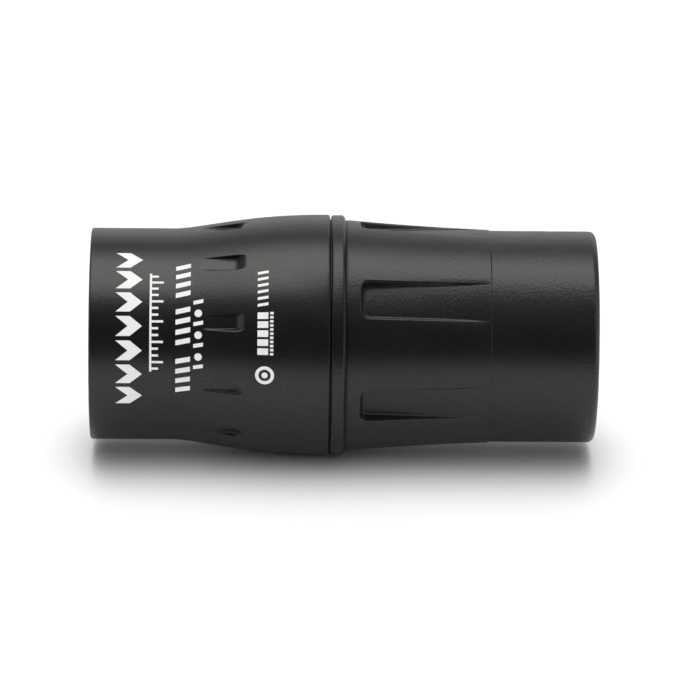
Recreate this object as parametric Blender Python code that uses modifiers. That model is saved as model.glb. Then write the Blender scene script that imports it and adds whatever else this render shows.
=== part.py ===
"""An in-line low-flow pressure regulator for drip irrigation, as an assembly of separate pieces.

Water enters the threaded hub of inlet_housing, passes round the fixed seat carried by seat_spider,
goes down the hollow stem of the plunger and leaves through the threaded hub of outlet_housing.
Outlet pressure on the plunger's head pushes it up the bore against the spring, until the stem's mouth
closes on seat_pad. Every piece lies on one axis.

All sizes below are in millimetres. Heights run along the flow from the inlet face; the axis empty turns
that direction to world +X and puts the origin half way along the body.
"""

import math

import bmesh
import bpy
from mathutils import Matrix, Vector

MM = 0.001
GAP = 0.3  # clearance between faces that touch on the real object
OVERCUT = 1.0  # how far a cutter runs past the face it opens
MERGE = 1e-6  # metres; small enough to leave every modelled edge alone
HOUSING_SIDES = 48
INNER_SIDES = 32
SHARP_ANGLE = math.radians(32)

# Driving sizes of the body
BODY_LENGTH = 83.4
HUB_R = 17.5
BODY_MAX_R = 19.95
SEAM = 39.4  # where the inlet housing ends
SEAM_GAP = 0.3
INLET_EDGE_R = 0.4
OUTLET_EDGE_R = 1.0
SMALL_EDGE_R = 0.2
LEAD_IN = 0.5  # chamfer at the mouth of a bore
EDGE_CHAMFER = 0.4
FINE_CHAMFER = 0.2

# Flare of the inlet housing: one S-curve from the hub to the full radius
FLARE_START = 13.5
FLARE_END = 38.5
FLARE_LEAD_IN = 4.5
FLARE_LEAD_OUT = 13.0

# Collar and grip taper of the outlet housing
COLLAR_R = 19.9
COLLAR_WIDTH = 2.2
COLLAR_EDGE_R = 0.8
TAPER_END = 65.7
TAPER_END_R = 17.68
TAPER_SLOPE = 0.033
TAPER_BEND = 0.00118  # per millimetre

# Finger recesses of the inlet housing and grip grooves of the outlet housing
RECESS_COUNT = 11
RECESS_FIRST_DEG = -111.5
RECESS_WIDTH = 2.8
RECESS_FLOOR_R = 18.0
RECESS_START = 17.0
RECESS_END = 25.0
RECESS_CORNER_R = 0.7
GROOVES_DEG = (-184.5, -123.3, -66.0)  # in one half of the mould, and opposite these in the other half
GROOVE_WIDTH = 6.3
GROOVE_FLOOR_R = 17.7
GROOVE_START = 44.2
GROOVE_END = 65.0
GROOVE_CORNER_R = 1.1

# 3/4 in tapered pipe thread (14 threads per inch, 1:16 on the diameter), modelled at its pitch cone
PIPE_PITCH_R = 12.56
PIPE_TAPER = 1 / 32
PIPE_DEPTH = 15.6
PIPE_MOUTH_R = 13.9
PIPE_MOUTH_DEPTH = 1.3

# Waterway of the inlet housing
CLIP_GROOVE = (16.2, 17.4)
CLIP_GROOVE_R = 12.3
SPIDER_BORE_R = 11.6
SPIDER_SHOULDER = 21.6
CHAMBER_R = 9.9
WEB = (26.5, 31.0)
WEB_HOLE_R = 5.3
SEAL_POCKET = 28.0
SEAL_POCKET_R = 7.3
JOINT_BORE_R = 16.9

# Waterway of the outlet housing
SPIGOT_START = 31.6
SPIGOT_R = 16.6
CYLINDER_R = 14.0
CYLINDER_STOP = 56.2
OUTLET_BORE_R = 11.3
VENT_SLOTS = 4
VENT_WIDTH = 2.0
VENT_DEPTH = 0.7

# Seat
SPIDER_R = 11.3
SPIDER_RING_BORE_R = 10.0
SPIDER_START = 17.6
SPIDER_END = SPIDER_SHOULDER - GAP
HUB_NOSE = (15.6, 18.6)
HUB_NOSE_STEPS = 5
SEAT_HUB_R = 6.4
SEAT_HUB_END = 21.0
CUP_R = 5.7
CUP_FLOOR = 19.2
STUD_R = 1.2
STUD_END = 20.8
SPIDER_ARMS = 4
ARM_WIDTH = 1.6
ARM_RADII = (5.9, 10.6)
ARM_HEIGHTS = (18.1, 20.6)
PAD_FACE = 21.3

# Clip that keeps the spider in its bore
CLIP_R = 12.0
CLIP_BORE_R = 10.7
CLIP_THICKNESS = 0.6
CLIP_OPENING_DEG = 34.0
CLIP_OPENING_AT_DEG = -90.0
CLIP_LUG_R = 1.35
CLIP_LUG_AT = 10.6
CLIP_LUG_HOLE_R = 0.55

# Plunger, at rest with the valve fully open
STEM_R = 5.0
STEM_BORE_R = 3.7
STROKE = 2.3
SHUT_CLEARANCE = 0.1  # left between the mouth and the pad when the valve is shut
MOUTH = PAD_FACE + STROKE + SHUT_CLEARANCE
MOUTH_LIP_R = 4.25
MOUTH_BORE_R = 3.9
MOUTH_TAPER = 0.9
HEAD_START = 50.2
HEAD_END = CYLINDER_STOP - GAP
HEAD_R = 13.7
PILOT_R = 9.6
PILOT_HEIGHT = 2.0
STEM_FILLET = 0.6
PISTON_GROOVE = (51.4, 54.2)
PISTON_GROOVE_R = 11.4
DISH_R = 10.2
DISH_FLOOR_R = 9.7
DISH_FLOOR = 52.6
NOZZLE_R = 5.4
NOZZLE_TIP_R = 5.1
NOZZLE_LIP_R = 4.6
NOZZLE_END = 55.3
NOZZLE_FLARE = 1.8
HEAD_RIBS = 6
HEAD_RIB_WIDTH = 1.2
HEAD_RIB_RADII = (5.0, 10.1)
HEAD_RIB_HEIGHTS = (52.3, 54.9)

# Seals, guide, washers and spring
STEM_SEAL_R = 6.15
STEM_SEAL_SECTION = 0.85
STEM_SEAL_AT = 29.3
PISTON_SEAL_R = 12.7
PISTON_SEAL_SECTION = 1.0
GUIDE_BORE_R = 5.3
GUIDE_NOSE_R = 7.0
GUIDE_NOSE = 0.6
GUIDE_FLANGE_R = 13.3
GUIDE_FLANGE = 1.15
WASHER_R = 13.3
WASHER_BORE_R = 9.9
WASHER_THICKNESS = 0.5
SPRING_R = 11.6
WIRE_R = 1.25
SPRING_TURNS = 4.0
DEAD_TURNS = 0.9
DEAD_PITCH = 2 * WIRE_R + 0.15
SPRING_STEPS = 20  # points for each turn

for old in list(bpy.data.objects):
    bpy.data.objects.remove(old)
parts = bpy.data.collections.new("pressure_regulator")
bpy.context.scene.collection.children.link(parts)
cutters = bpy.data.collections.new("cutters")
bpy.context.scene.collection.children.link(cutters)
cutters.hide_render = True

axis = bpy.data.objects.new("flow_axis", None)
parts.objects.link(axis)
axis.location = (-BODY_LENGTH / 2 * MM, 0, 0)
axis.rotation_euler = (0, math.pi / 2, 0)


# Materials


def plastic_or_metal(name, colour, roughness, metallic=0.0):
    material = bpy.data.materials.new(name)
    material.use_nodes = True
    shader = material.node_tree.nodes["Principled BSDF"]
    shader.inputs["Base Color"].default_value = (*colour, 1)
    shader.inputs["Roughness"].default_value = roughness
    shader.inputs["Metallic"].default_value = metallic
    material.diffuse_color = (*colour, 1)
    return material


BLACK = plastic_or_metal("housing_black", (0.022, 0.022, 0.021), 0.45)
ACETAL = plastic_or_metal("acetal_natural", (0.78, 0.77, 0.72), 0.35)
RUBBER = plastic_or_metal("seal_rubber", (0.015, 0.015, 0.015), 0.6)
STEEL = plastic_or_metal("spring_steel", (0.62, 0.61, 0.59), 0.25, 1.0)


# Outline helpers: an outline is a closed loop of (radius, height) pairs


def arc(centre_r, centre_h, radius, start_deg, end_deg, steps):
    """Points on a circle; 0 degrees points away from the axis and 90 along the flow."""
    points = []
    for i in range(steps + 1):
        a = math.radians(start_deg + (end_deg - start_deg) * i / steps)
        points.append((centre_r + radius * math.cos(a), centre_h + radius * math.sin(a)))
    return points


def flare(steps=8):
    """The inlet housing's S-curve: a cubic Bezier that leaves the hub and ends at the full radius."""
    ends = (FLARE_START, FLARE_START + FLARE_LEAD_IN, FLARE_END - FLARE_LEAD_OUT, FLARE_END)
    radii = (HUB_R, HUB_R, BODY_MAX_R, BODY_MAX_R)
    points = []
    for i in range(steps + 1):
        t = i / steps
        weights = ((1 - t) ** 3, 3 * t * (1 - t) ** 2, 3 * t * t * (1 - t), t**3)
        r = sum(w * x for w, x in zip(weights, radii))
        h = sum(w * x for w, x in zip(weights, ends))
        points.append((r, h))
    return points


def grip_taper_r(height):
    """Radius of the outlet housing between its collar and its hub: a shallow hollow taper."""
    back = TAPER_END - height
    return TAPER_END_R + TAPER_SLOPE * back + TAPER_BEND * back**2


def pipe_r(depth):
    """Radius of the pipe thread's pitch cone this far in from the mouth."""
    return PIPE_PITCH_R - PIPE_TAPER * depth


def even_angles(count, first_deg):
    return [first_deg + 360 * i / count for i in range(count)]


# Solid helpers


def add(name, mesh, material, height=0.0):
    obj = bpy.data.objects.new(name, mesh)
    obj.parent = axis
    obj.location = (0, 0, height * MM)
    if material is None:
        cutters.objects.link(obj)
        obj.hide_render = True
        obj.display_type = "WIRE"
    else:
        parts.objects.link(obj)
        mesh.materials.append(material)
    return obj


def turned(name, outline, material, sides=INNER_SIDES, height=0.0):
    """A solid of revolution about the flow axis."""
    after = outline[1:] + outline[:1]
    area = sum(r0 * h1 - r1 * h0 for (r0, h0), (r1, h1) in zip(outline, after))
    if area > 0:
        outline = outline[::-1]
    mesh = bpy.data.meshes.new(name)
    count = len(outline)
    edges = [(i, (i + 1) % count) for i in range(count)]
    mesh.from_pydata([(r * MM, 0, h * MM) for r, h in outline], edges, [])
    obj = add(name, mesh, material, height)
    screw = obj.modifiers.new("turn", "SCREW")
    screw.axis = "Z"
    screw.angle = math.tau
    screw.steps = sides
    screw.render_steps = sides
    screw.use_merge_vertices = True
    screw.merge_threshold = MERGE
    return obj


def boolean(obj, operand, operation):
    modifier = obj.modifiers.new(operation.lower(), "BOOLEAN")
    modifier.operation = operation
    modifier.solver = "EXACT"
    modifier.object = operand


def bars(name, angles_deg, width, radii, heights, corner_r=0.0):
    """Boxes standing out from the axis like spokes, in one helper object, with rounded ends if wanted."""
    bm = bmesh.new()
    size = (radii[1] - radii[0], width, heights[1] - heights[0])
    centre = ((radii[0] + radii[1]) / 2, 0, (heights[0] + heights[1]) / 2)
    for angle in angles_deg:
        made = bmesh.ops.create_cube(bm, size=1.0)["verts"]
        bmesh.ops.scale(bm, vec=Vector(size) * MM, verts=made)
        bmesh.ops.translate(bm, vec=Vector(centre) * MM, verts=made)
        turn = Matrix.Rotation(math.radians(angle), 3, "Z")
        bmesh.ops.rotate(bm, matrix=turn, verts=made)
    if corner_r:
        radial = [e for e in bm.edges if abs(e.calc_length() - size[0] * MM) < MERGE]
        offset = corner_r * MM
        bmesh.ops.bevel(bm, geom=radial, offset=offset, segments=3, profile=0.5, affect="EDGES")
    mesh = bpy.data.meshes.new(name)
    bm.to_mesh(mesh)
    bm.free()
    return add(name, mesh, None)


def pegs(name, radius, out, angles, heights):
    """Round pegs parallel to the axis, in one helper object."""
    bm = bmesh.new()
    length = heights[1] - heights[0]
    for a in angles:
        centre = Vector((out * math.cos(a), out * math.sin(a), heights[0] + length / 2)) * MM
        bmesh.ops.create_cone(
            bm,
            cap_ends=True,
            segments=16,
            radius1=radius * MM,
            radius2=radius * MM,
            depth=length * MM,
            matrix=Matrix.Translation(centre),
        )
    mesh = bpy.data.meshes.new(name)
    bm.to_mesh(mesh)
    bm.free()
    return add(name, mesh, None)


def recesses(name, angles_deg, width, floor_r, heights, corner_r):
    """Cutters whose inner ends lie on one cylinder about the axis, which becomes the recesses' floor."""
    outside = BODY_MAX_R + OVERCUT
    cutter = bars(name, angles_deg, width, (floor_r - OVERCUT, outside), heights, corner_r)
    low = heights[0] - OVERCUT
    high = heights[1] + OVERCUT
    core_outline = [(0, low), (floor_r, low), (floor_r, high), (0, high)]
    core = turned(name + "_core", core_outline, None, HOUSING_SIDES)
    boolean(cutter, core, "DIFFERENCE")
    return cutter


# Pieces


def inlet_housing():
    outline = arc(HUB_R - INLET_EDGE_R, INLET_EDGE_R, INLET_EDGE_R, -90, 0, 2)
    outline += flare()
    outline += arc(BODY_MAX_R - SMALL_EDGE_R, SEAM - SMALL_EDGE_R, SMALL_EDGE_R, 0, 90, 2)
    outline += [
        (JOINT_BORE_R + LEAD_IN, SEAM),
        (JOINT_BORE_R, SEAM - LEAD_IN),
        (JOINT_BORE_R, WEB[1]),
        (SEAL_POCKET_R, WEB[1]),
        (SEAL_POCKET_R, SEAL_POCKET),
        (WEB_HOLE_R, SEAL_POCKET),
        (WEB_HOLE_R, WEB[0]),
        (CHAMBER_R, WEB[0]),
        (CHAMBER_R, SPIDER_SHOULDER),
        (SPIDER_BORE_R, SPIDER_SHOULDER),
        (SPIDER_BORE_R, CLIP_GROOVE[1]),
        (CLIP_GROOVE_R, CLIP_GROOVE[1]),
        (CLIP_GROOVE_R, CLIP_GROOVE[0]),
        (SPIDER_BORE_R, CLIP_GROOVE[0]),
        (SPIDER_BORE_R, PIPE_DEPTH),
        (pipe_r(PIPE_DEPTH), PIPE_DEPTH),
        (pipe_r(PIPE_MOUTH_DEPTH), PIPE_MOUTH_DEPTH),
        (PIPE_MOUTH_R, 0),
    ]
    housing = turned("inlet_housing", outline, BLACK, HOUSING_SIDES)
    cutter = recesses(
        "finger_recesses",
        even_angles(RECESS_COUNT, RECESS_FIRST_DEG),
        RECESS_WIDTH,
        RECESS_FLOOR_R,
        (RECESS_START, RECESS_END),
        RECESS_CORNER_R,
    )
    boolean(housing, cutter, "DIFFERENCE")


def outlet_housing():
    collar = (SEAM + SEAM_GAP, SEAM + SEAM_GAP + COLLAR_WIDTH)
    outline = [
        (SPIGOT_R - EDGE_CHAMFER, SPIGOT_START),
        (SPIGOT_R, SPIGOT_START + EDGE_CHAMFER),
        (SPIGOT_R, collar[0]),
    ]
    outline += arc(COLLAR_R - SMALL_EDGE_R, collar[0] + SMALL_EDGE_R, SMALL_EDGE_R, -90, 0, 2)
    drop = COLLAR_R - grip_taper_r(collar[1])
    edge_end = math.degrees(math.acos(1 - drop / COLLAR_EDGE_R))
    centre_r = COLLAR_R - COLLAR_EDGE_R
    outline += arc(centre_r, collar[1] - COLLAR_EDGE_R, COLLAR_EDGE_R, 0, edge_end, 3)
    outline += [(grip_taper_r(collar[1]), collar[1])]
    steps = 5
    for i in range(1, steps + 1):
        height = collar[1] + (TAPER_END - collar[1]) * i / steps
        outline.append((grip_taper_r(height), height))
    outline += [(HUB_R, TAPER_END)]
    outline += arc(HUB_R - OUTLET_EDGE_R, BODY_LENGTH - OUTLET_EDGE_R, OUTLET_EDGE_R, 0, 90, 3)
    outline += [
        (PIPE_MOUTH_R, BODY_LENGTH),
        (pipe_r(PIPE_MOUTH_DEPTH), BODY_LENGTH - PIPE_MOUTH_DEPTH),
        (pipe_r(PIPE_DEPTH), BODY_LENGTH - PIPE_DEPTH),
        (OUTLET_BORE_R, BODY_LENGTH - PIPE_DEPTH),
        (OUTLET_BORE_R, CYLINDER_STOP),
        (CYLINDER_R, CYLINDER_STOP),
        (CYLINDER_R, SPIGOT_START + LEAD_IN),
        (CYLINDER_R + LEAD_IN, SPIGOT_START),
    ]
    housing = turned("outlet_housing", outline, BLACK, HOUSING_SIDES)
    groove_angles = []
    for half in even_angles(2, 0):
        groove_angles += [half + groove for groove in GROOVES_DEG]
    grooves = recesses(
        "grip_grooves",
        groove_angles,
        GROOVE_WIDTH,
        GROOVE_FLOOR_R,
        (GROOVE_START, GROOVE_END),
        GROOVE_CORNER_R,
    )
    boolean(housing, grooves, "DIFFERENCE")
    # The spring chamber breathes along these slots in the spigot and out at the seam.
    vents = bars(
        "vent_slots",
        even_angles(VENT_SLOTS, 45),
        VENT_WIDTH,
        (SPIGOT_R - VENT_DEPTH, SPIGOT_R + OVERCUT),
        (SPIGOT_START - OVERCUT, collar[0] - GAP),
    )
    boolean(housing, vents, "DIFFERENCE")


def seat_spider():
    ring = [
        (SPIDER_R - EDGE_CHAMFER, SPIDER_START),
        (SPIDER_R, SPIDER_START + EDGE_CHAMFER),
        (SPIDER_R, SPIDER_END),
        (SPIDER_RING_BORE_R, SPIDER_END),
        (SPIDER_RING_BORE_R, SPIDER_START),
    ]
    spider = turned("seat_spider", ring, ACETAL)
    nose_depth = HUB_NOSE[1] - HUB_NOSE[0]
    hub = []
    for i in range(HUB_NOSE_STEPS + 1):
        a = math.radians(90 * i / HUB_NOSE_STEPS)
        hub.append((SEAT_HUB_R * math.sin(a), HUB_NOSE[0] + nose_depth * (1 - math.cos(a))))
    hub += [
        (SEAT_HUB_R, SEAT_HUB_END),
        (CUP_R, SEAT_HUB_END),
        (CUP_R, CUP_FLOOR),
        (STUD_R, CUP_FLOOR),
        (STUD_R, STUD_END),
        (0, STUD_END),
    ]
    hub_body = turned("seat_hub", hub, None)
    arms = bars("spider_arms", even_angles(SPIDER_ARMS, 45), ARM_WIDTH, ARM_RADII, ARM_HEIGHTS)
    boolean(spider, arms, "UNION")
    boolean(spider, hub_body, "UNION")


def seat_pad():
    rim = CUP_R - GAP
    hole = STUD_R + GAP
    floor = CUP_FLOOR + GAP
    outline = [
        (rim, floor),
        (rim, PAD_FACE - FINE_CHAMFER),
        (rim - FINE_CHAMFER, PAD_FACE),
        (hole + FINE_CHAMFER, PAD_FACE),
        (hole, PAD_FACE - FINE_CHAMFER),
        (hole, floor),
    ]
    turned("seat_pad", outline, RUBBER)


def spider_clip():
    """A flat open ring with a pierced lug at each end, lying in the groove ahead of the spider."""
    face = (CLIP_GROOVE[0] + CLIP_GROOVE[1] - CLIP_THICKNESS) / 2
    heights = (face, face + CLIP_THICKNESS)
    ring = [
        (CLIP_R, heights[0]),
        (CLIP_R, heights[1]),
        (CLIP_BORE_R, heights[1]),
        (CLIP_BORE_R, heights[0]),
    ]
    clip = turned("spider_clip", ring, STEEL, HOUSING_SIDES)
    half = math.radians(CLIP_OPENING_DEG / 2)
    opening_width = 2 * CLIP_R * math.sin(half)
    through = (heights[0] - OVERCUT, heights[1] + OVERCUT)
    across = (CLIP_BORE_R - 2 * OVERCUT, CLIP_R + 2 * OVERCUT)
    opening = bars("clip_opening", [CLIP_OPENING_AT_DEG], opening_width, across, through)
    boolean(clip, opening, "DIFFERENCE")
    angles = [math.radians(CLIP_OPENING_AT_DEG) + side * half for side in (-1, 1)]
    lugs = pegs("clip_lugs", CLIP_LUG_R, CLIP_LUG_AT, angles, heights)
    boolean(clip, lugs, "UNION")
    holes = pegs("clip_lug_holes", CLIP_LUG_HOLE_R, CLIP_LUG_AT, angles, through)
    boolean(clip, holes, "DIFFERENCE")


def seal_ring(name, ring_r, section_r, at):
    """An O-ring lying across the flow axis."""
    bpy.ops.mesh.primitive_torus_add(
        major_segments=INNER_SIDES,
        minor_segments=8,
        major_radius=ring_r * MM,
        minor_radius=section_r * MM,
    )
    torus = bpy.context.object
    mesh = torus.data
    bpy.data.objects.remove(torus)
    add(name, mesh, RUBBER, at)


def stem_guide():
    """Keeps the stem seal in its pocket, centres the stem and takes the fixed end of the spring."""
    flange = WEB[1] + GAP
    top = flange + GUIDE_FLANGE
    end = top + PILOT_HEIGHT
    outline = [
        (GUIDE_NOSE_R, flange - GUIDE_NOSE),
        (GUIDE_NOSE_R, flange),
        (GUIDE_FLANGE_R, flange),
        (GUIDE_FLANGE_R, top),
        (PILOT_R, top),
        (PILOT_R, end - EDGE_CHAMFER),
        (PILOT_R - EDGE_CHAMFER, end),
        (GUIDE_BORE_R + EDGE_CHAMFER, end),
        (GUIDE_BORE_R, end - EDGE_CHAMFER),
        (GUIDE_BORE_R, flange - GUIDE_NOSE),
    ]
    turned("stem_guide", outline, ACETAL)
    return top


def washer(name, height):
    outline = [
        (WASHER_R, 0),
        (WASHER_R, WASHER_THICKNESS),
        (WASHER_BORE_R, WASHER_THICKNESS),
        (WASHER_BORE_R, 0),
    ]
    turned(name, outline, STEEL, height=height)


def spring(start, end):
    """A compression spring with closed ends: tight over the end turns and open between them."""
    length = end - start - 2 * WIRE_R
    open_rise = length - 2 * DEAD_TURNS * DEAD_PITCH
    open_turns = SPRING_TURNS - 2 * DEAD_TURNS

    def rise(turn):
        if turn < DEAD_TURNS:
            return turn * DEAD_PITCH
        if turn > SPRING_TURNS - DEAD_TURNS:
            return length - (SPRING_TURNS - turn) * DEAD_PITCH
        return DEAD_TURNS * DEAD_PITCH + (turn - DEAD_TURNS) / open_turns * open_rise

    curve = bpy.data.curves.new("spring", "CURVE")
    curve.dimensions = "3D"
    curve.bevel_depth = WIRE_R * MM
    curve.bevel_resolution = 2
    curve.use_fill_caps = True
    spline = curve.splines.new("POLY")
    count = round(SPRING_TURNS * SPRING_STEPS)
    spline.points.add(count)
    for i, point in enumerate(spline.points):
        turn = SPRING_TURNS * i / count
        a = math.tau * turn
        height = start + WIRE_R + rise(turn)
        point.co = (SPRING_R * math.cos(a) * MM, SPRING_R * math.sin(a) * MM, height * MM, 1)
    obj = bpy.data.objects.new("spring", curve)
    obj.parent = axis
    curve.materials.append(STEEL)
    parts.objects.link(obj)


def plunger():
    """Hollow stem and piston head in one moulding. The object's origin is at the mouth, on the axis."""
    pilot = HEAD_START - PILOT_HEIGHT
    outline = [
        (MOUTH_LIP_R, MOUTH),
        (STEM_R, MOUTH + MOUTH_TAPER),
        (STEM_R, pilot - STEM_FILLET),
        (STEM_R + STEM_FILLET, pilot),
        (PILOT_R - EDGE_CHAMFER, pilot),
        (PILOT_R, pilot + EDGE_CHAMFER),
        (PILOT_R, HEAD_START),
        (HEAD_R - FINE_CHAMFER, HEAD_START),
        (HEAD_R, HEAD_START + FINE_CHAMFER),
        (HEAD_R, PISTON_GROOVE[0]),
        (PISTON_GROOVE_R, PISTON_GROOVE[0]),
        (PISTON_GROOVE_R, PISTON_GROOVE[1]),
        (HEAD_R, PISTON_GROOVE[1]),
        (HEAD_R, HEAD_END - EDGE_CHAMFER),
        (HEAD_R - EDGE_CHAMFER, HEAD_END),
        (DISH_R, HEAD_END),
        (DISH_FLOOR_R, DISH_FLOOR),
        (NOZZLE_R, DISH_FLOOR),
        (NOZZLE_TIP_R, NOZZLE_END),
        (NOZZLE_LIP_R, NOZZLE_END),
        (STEM_BORE_R, NOZZLE_END - NOZZLE_FLARE),
        (STEM_BORE_R, MOUTH + MOUTH_TAPER),
        (MOUTH_BORE_R, MOUTH),
    ]
    outline = [(r, h - MOUTH) for r, h in outline]
    body = turned("plunger", outline, ACETAL, height=MOUTH)
    ribs = bars(
        "head_ribs", even_angles(HEAD_RIBS, 0), HEAD_RIB_WIDTH, HEAD_RIB_RADII, HEAD_RIB_HEIGHTS
    )
    boolean(body, ribs, "UNION")


inlet_housing()
outlet_housing()
seat_spider()
seat_pad()
spider_clip()
seal_ring("stem_o_ring", STEM_SEAL_R, STEM_SEAL_SECTION, STEM_SEAL_AT)
guide_top = stem_guide()
fixed_washer_at = guide_top + GAP
washer("spring_washer_fixed", fixed_washer_at)
moving_washer_at = HEAD_START - GAP - WASHER_THICKNESS
washer("spring_washer_moving", moving_washer_at)
spring(fixed_washer_at + WASHER_THICKNESS + GAP, moving_washer_at - GAP)
plunger()
seal_ring("piston_o_ring", PISTON_SEAL_R, PISTON_SEAL_SECTION, sum(PISTON_GROOVE) / 2)


def shade_smooth(obj):
    """Settles the modifiers into the mesh, then shades it smooth between its sharp edges."""
    depsgraph = bpy.context.evaluated_depsgraph_get()
    mesh = bpy.data.meshes.new_from_object(obj.evaluated_get(depsgraph))
    mesh.name = obj.name
    if obj.type == "CURVE":
        bm = bmesh.new()
        bm.from_mesh(mesh)
        bmesh.ops.remove_doubles(bm, verts=bm.verts, dist=MERGE)
        bm.to_mesh(mesh)
        bm.free()
        solid = bpy.data.objects.new(obj.name, mesh)
        solid.parent = axis
        parts.objects.link(solid)
        name = obj.name
        bpy.data.objects.remove(obj)
        solid.name = name
    else:
        obj.modifiers.clear()
        obj.data = mesh
    mesh.shade_smooth()
    mesh.set_sharp_from_angle(angle=SHARP_ANGLE)


for piece in [obj for obj in parts.objects if obj.type != "EMPTY"]:
    shade_smooth(piece)
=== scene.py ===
"""Looks for the in-line pressure regulator: finished surfaces, materials, studio light and camera.

Sizes are in millimetres. h runs along the flow from the inlet face and r out from the flow axis.
The angle a is 0 towards the front (-Y) and grows upwards, so a point is at
(inlet + h, -r cos a, r sin a).
"""

import math

import bmesh
import bpy
import numpy as np
from mathutils import Matrix, Vector

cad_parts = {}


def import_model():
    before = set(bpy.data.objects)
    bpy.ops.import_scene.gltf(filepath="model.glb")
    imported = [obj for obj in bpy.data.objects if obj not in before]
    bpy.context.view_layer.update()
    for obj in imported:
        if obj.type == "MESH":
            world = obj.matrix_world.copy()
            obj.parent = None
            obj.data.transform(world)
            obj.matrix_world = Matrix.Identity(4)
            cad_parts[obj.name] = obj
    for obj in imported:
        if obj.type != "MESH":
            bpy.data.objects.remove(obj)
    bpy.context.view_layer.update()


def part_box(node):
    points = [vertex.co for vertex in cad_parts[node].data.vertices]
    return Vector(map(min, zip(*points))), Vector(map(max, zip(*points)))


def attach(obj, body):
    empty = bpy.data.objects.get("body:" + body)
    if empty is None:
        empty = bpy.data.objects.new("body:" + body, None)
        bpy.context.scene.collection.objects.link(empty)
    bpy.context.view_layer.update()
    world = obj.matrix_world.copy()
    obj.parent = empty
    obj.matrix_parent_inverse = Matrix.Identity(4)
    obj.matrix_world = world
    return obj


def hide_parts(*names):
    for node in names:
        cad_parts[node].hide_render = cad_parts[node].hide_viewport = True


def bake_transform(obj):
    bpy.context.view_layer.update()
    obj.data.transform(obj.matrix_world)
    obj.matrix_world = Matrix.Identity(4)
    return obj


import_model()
MM = 0.001
INLET_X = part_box("inlet_housing")[0].x
LENGTH = (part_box("outlet_housing")[1].x - INLET_X) / MM
INLET_END = (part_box("inlet_housing")[1].x - INLET_X) / MM
HOUSING_GAP = 0.3
SEAM_DEPTH = 0.75
COLLAR_START = INLET_END + HOUSING_GAP
MAX_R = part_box("inlet_housing")[1].z / MM
HUB_R = 17.5
SKIN_R = 18.0  # about the skin's mean radius, for laying it flat
ROUND_SIDES = 128

CAMERA_ELEVATION = 15.0
CAMERA_DISTANCE = 0.910
CAMERA_LENS = 282.0
CAMERA_X = -0.0128
CAMERA_AIM_X = 0.0012
CAMERA_AIM_DROP = 0.00247
CAMERA_ROLL = 0.67

# Inlet housing. The flare's skin is a curve with these (h, r) control points
FLARE = ((13.5, HUB_R), (18.0, HUB_R), (25.5, MAX_R), (38.5, MAX_R))
RECESS_AT_DEG = [CAMERA_ELEVATION + 6.5 + 360 * i / 11 for i in range(11)]
RECESS_START = 17.9
RECESS_FLOOR_R = 18.02
RECESS_HALF_FLOOR = 1.08
RECESS_END = (23.5, 25.85)  # from the floor's end to the skin
RECESS_END_ROUNDING = 0.48
# Walls as (radius of the rounded edge and foot, steepest angle in degrees)
RECESS_UPPER_WALL = (0.14, 80)
RECESS_LOWER_WALL = (0.32, 66)
INLET_BORE_R = 11.6
SPIDER_SHOULDER = 21.6
CLIP_SLOT = (16.2, 17.4)
CLIP_SLOT_R = 12.3
WEB_START = 26.5
WEB_END = 31.0
SEAL_POCKET_START = 28.0
SEAL_POCKET_R = 7.3
STEM_BORE_R = 5.3
THROAT_R = 9.9
SPIGOT_BORE_R = 16.9

# Outlet housing
COLLAR_R = 19.9
TAPER_START = 42.1
TAPER_END = 65.7
TAPER_END_R = 17.68
TAPER_SLOPE = 0.033
TAPER_FLARE = 0.00118
GROOVE_AT_DEG = [CAMERA_ELEVATION + half + at for half in (0, 180) for at in (-39.0, 18.3, 79.5)]
GROOVE_FLOOR_R = (17.36, 17.66)  # by the collar and at the taper's end
GROOVE_HALF_WIDTH = 3.45
GROOVE_START = 44.15
GROOVE_CORNER_R = 1.6
GROOVE_WALL = (0.36, 79)
SPIGOT_START = 31.6
SPIGOT_R = 16.6
CYLINDER_R = 14.0
CYLINDER_END = 56.2
OUTLET_BORE_R = 11.3

# Sockets, with a pipe thread of 14 to the inch on a 1:16 taper
SOCKET_DEPTH = 15.6
SOCKET_MOUTH_R = 13.9
SOCKET_WALL_START = 1.3
SOCKET_WALL_BELOW_R = 13.0  # what lies inside this radius in a socket is its threaded wall
SOCKET_FLOOR_R = 12.07
THREAD_PITCH = 25.4 / 14
THREAD_PITCH_R = 12.56
THREAD_HALF_HEIGHT = 0.6
THREAD_TAPER = 1 / 32
THREAD_START = 1.5
THREAD_END = SOCKET_DEPTH - 0.3
THREAD_FADE = 1.3
THREAD_FLATS = 1.25  # the ridge's wave is this much taller, and then cut off to flat crests and roots
THREAD_STEP = 0.19

# A feature shallower than this is left flush with the skin
LEAST_DEPTH = 0.01


# ---------------------------------------------------------------- shape helpers


def point(h, r, a):
    return (INLET_X + h * MM, -r * math.cos(a) * MM, r * math.sin(a) * MM)


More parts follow.
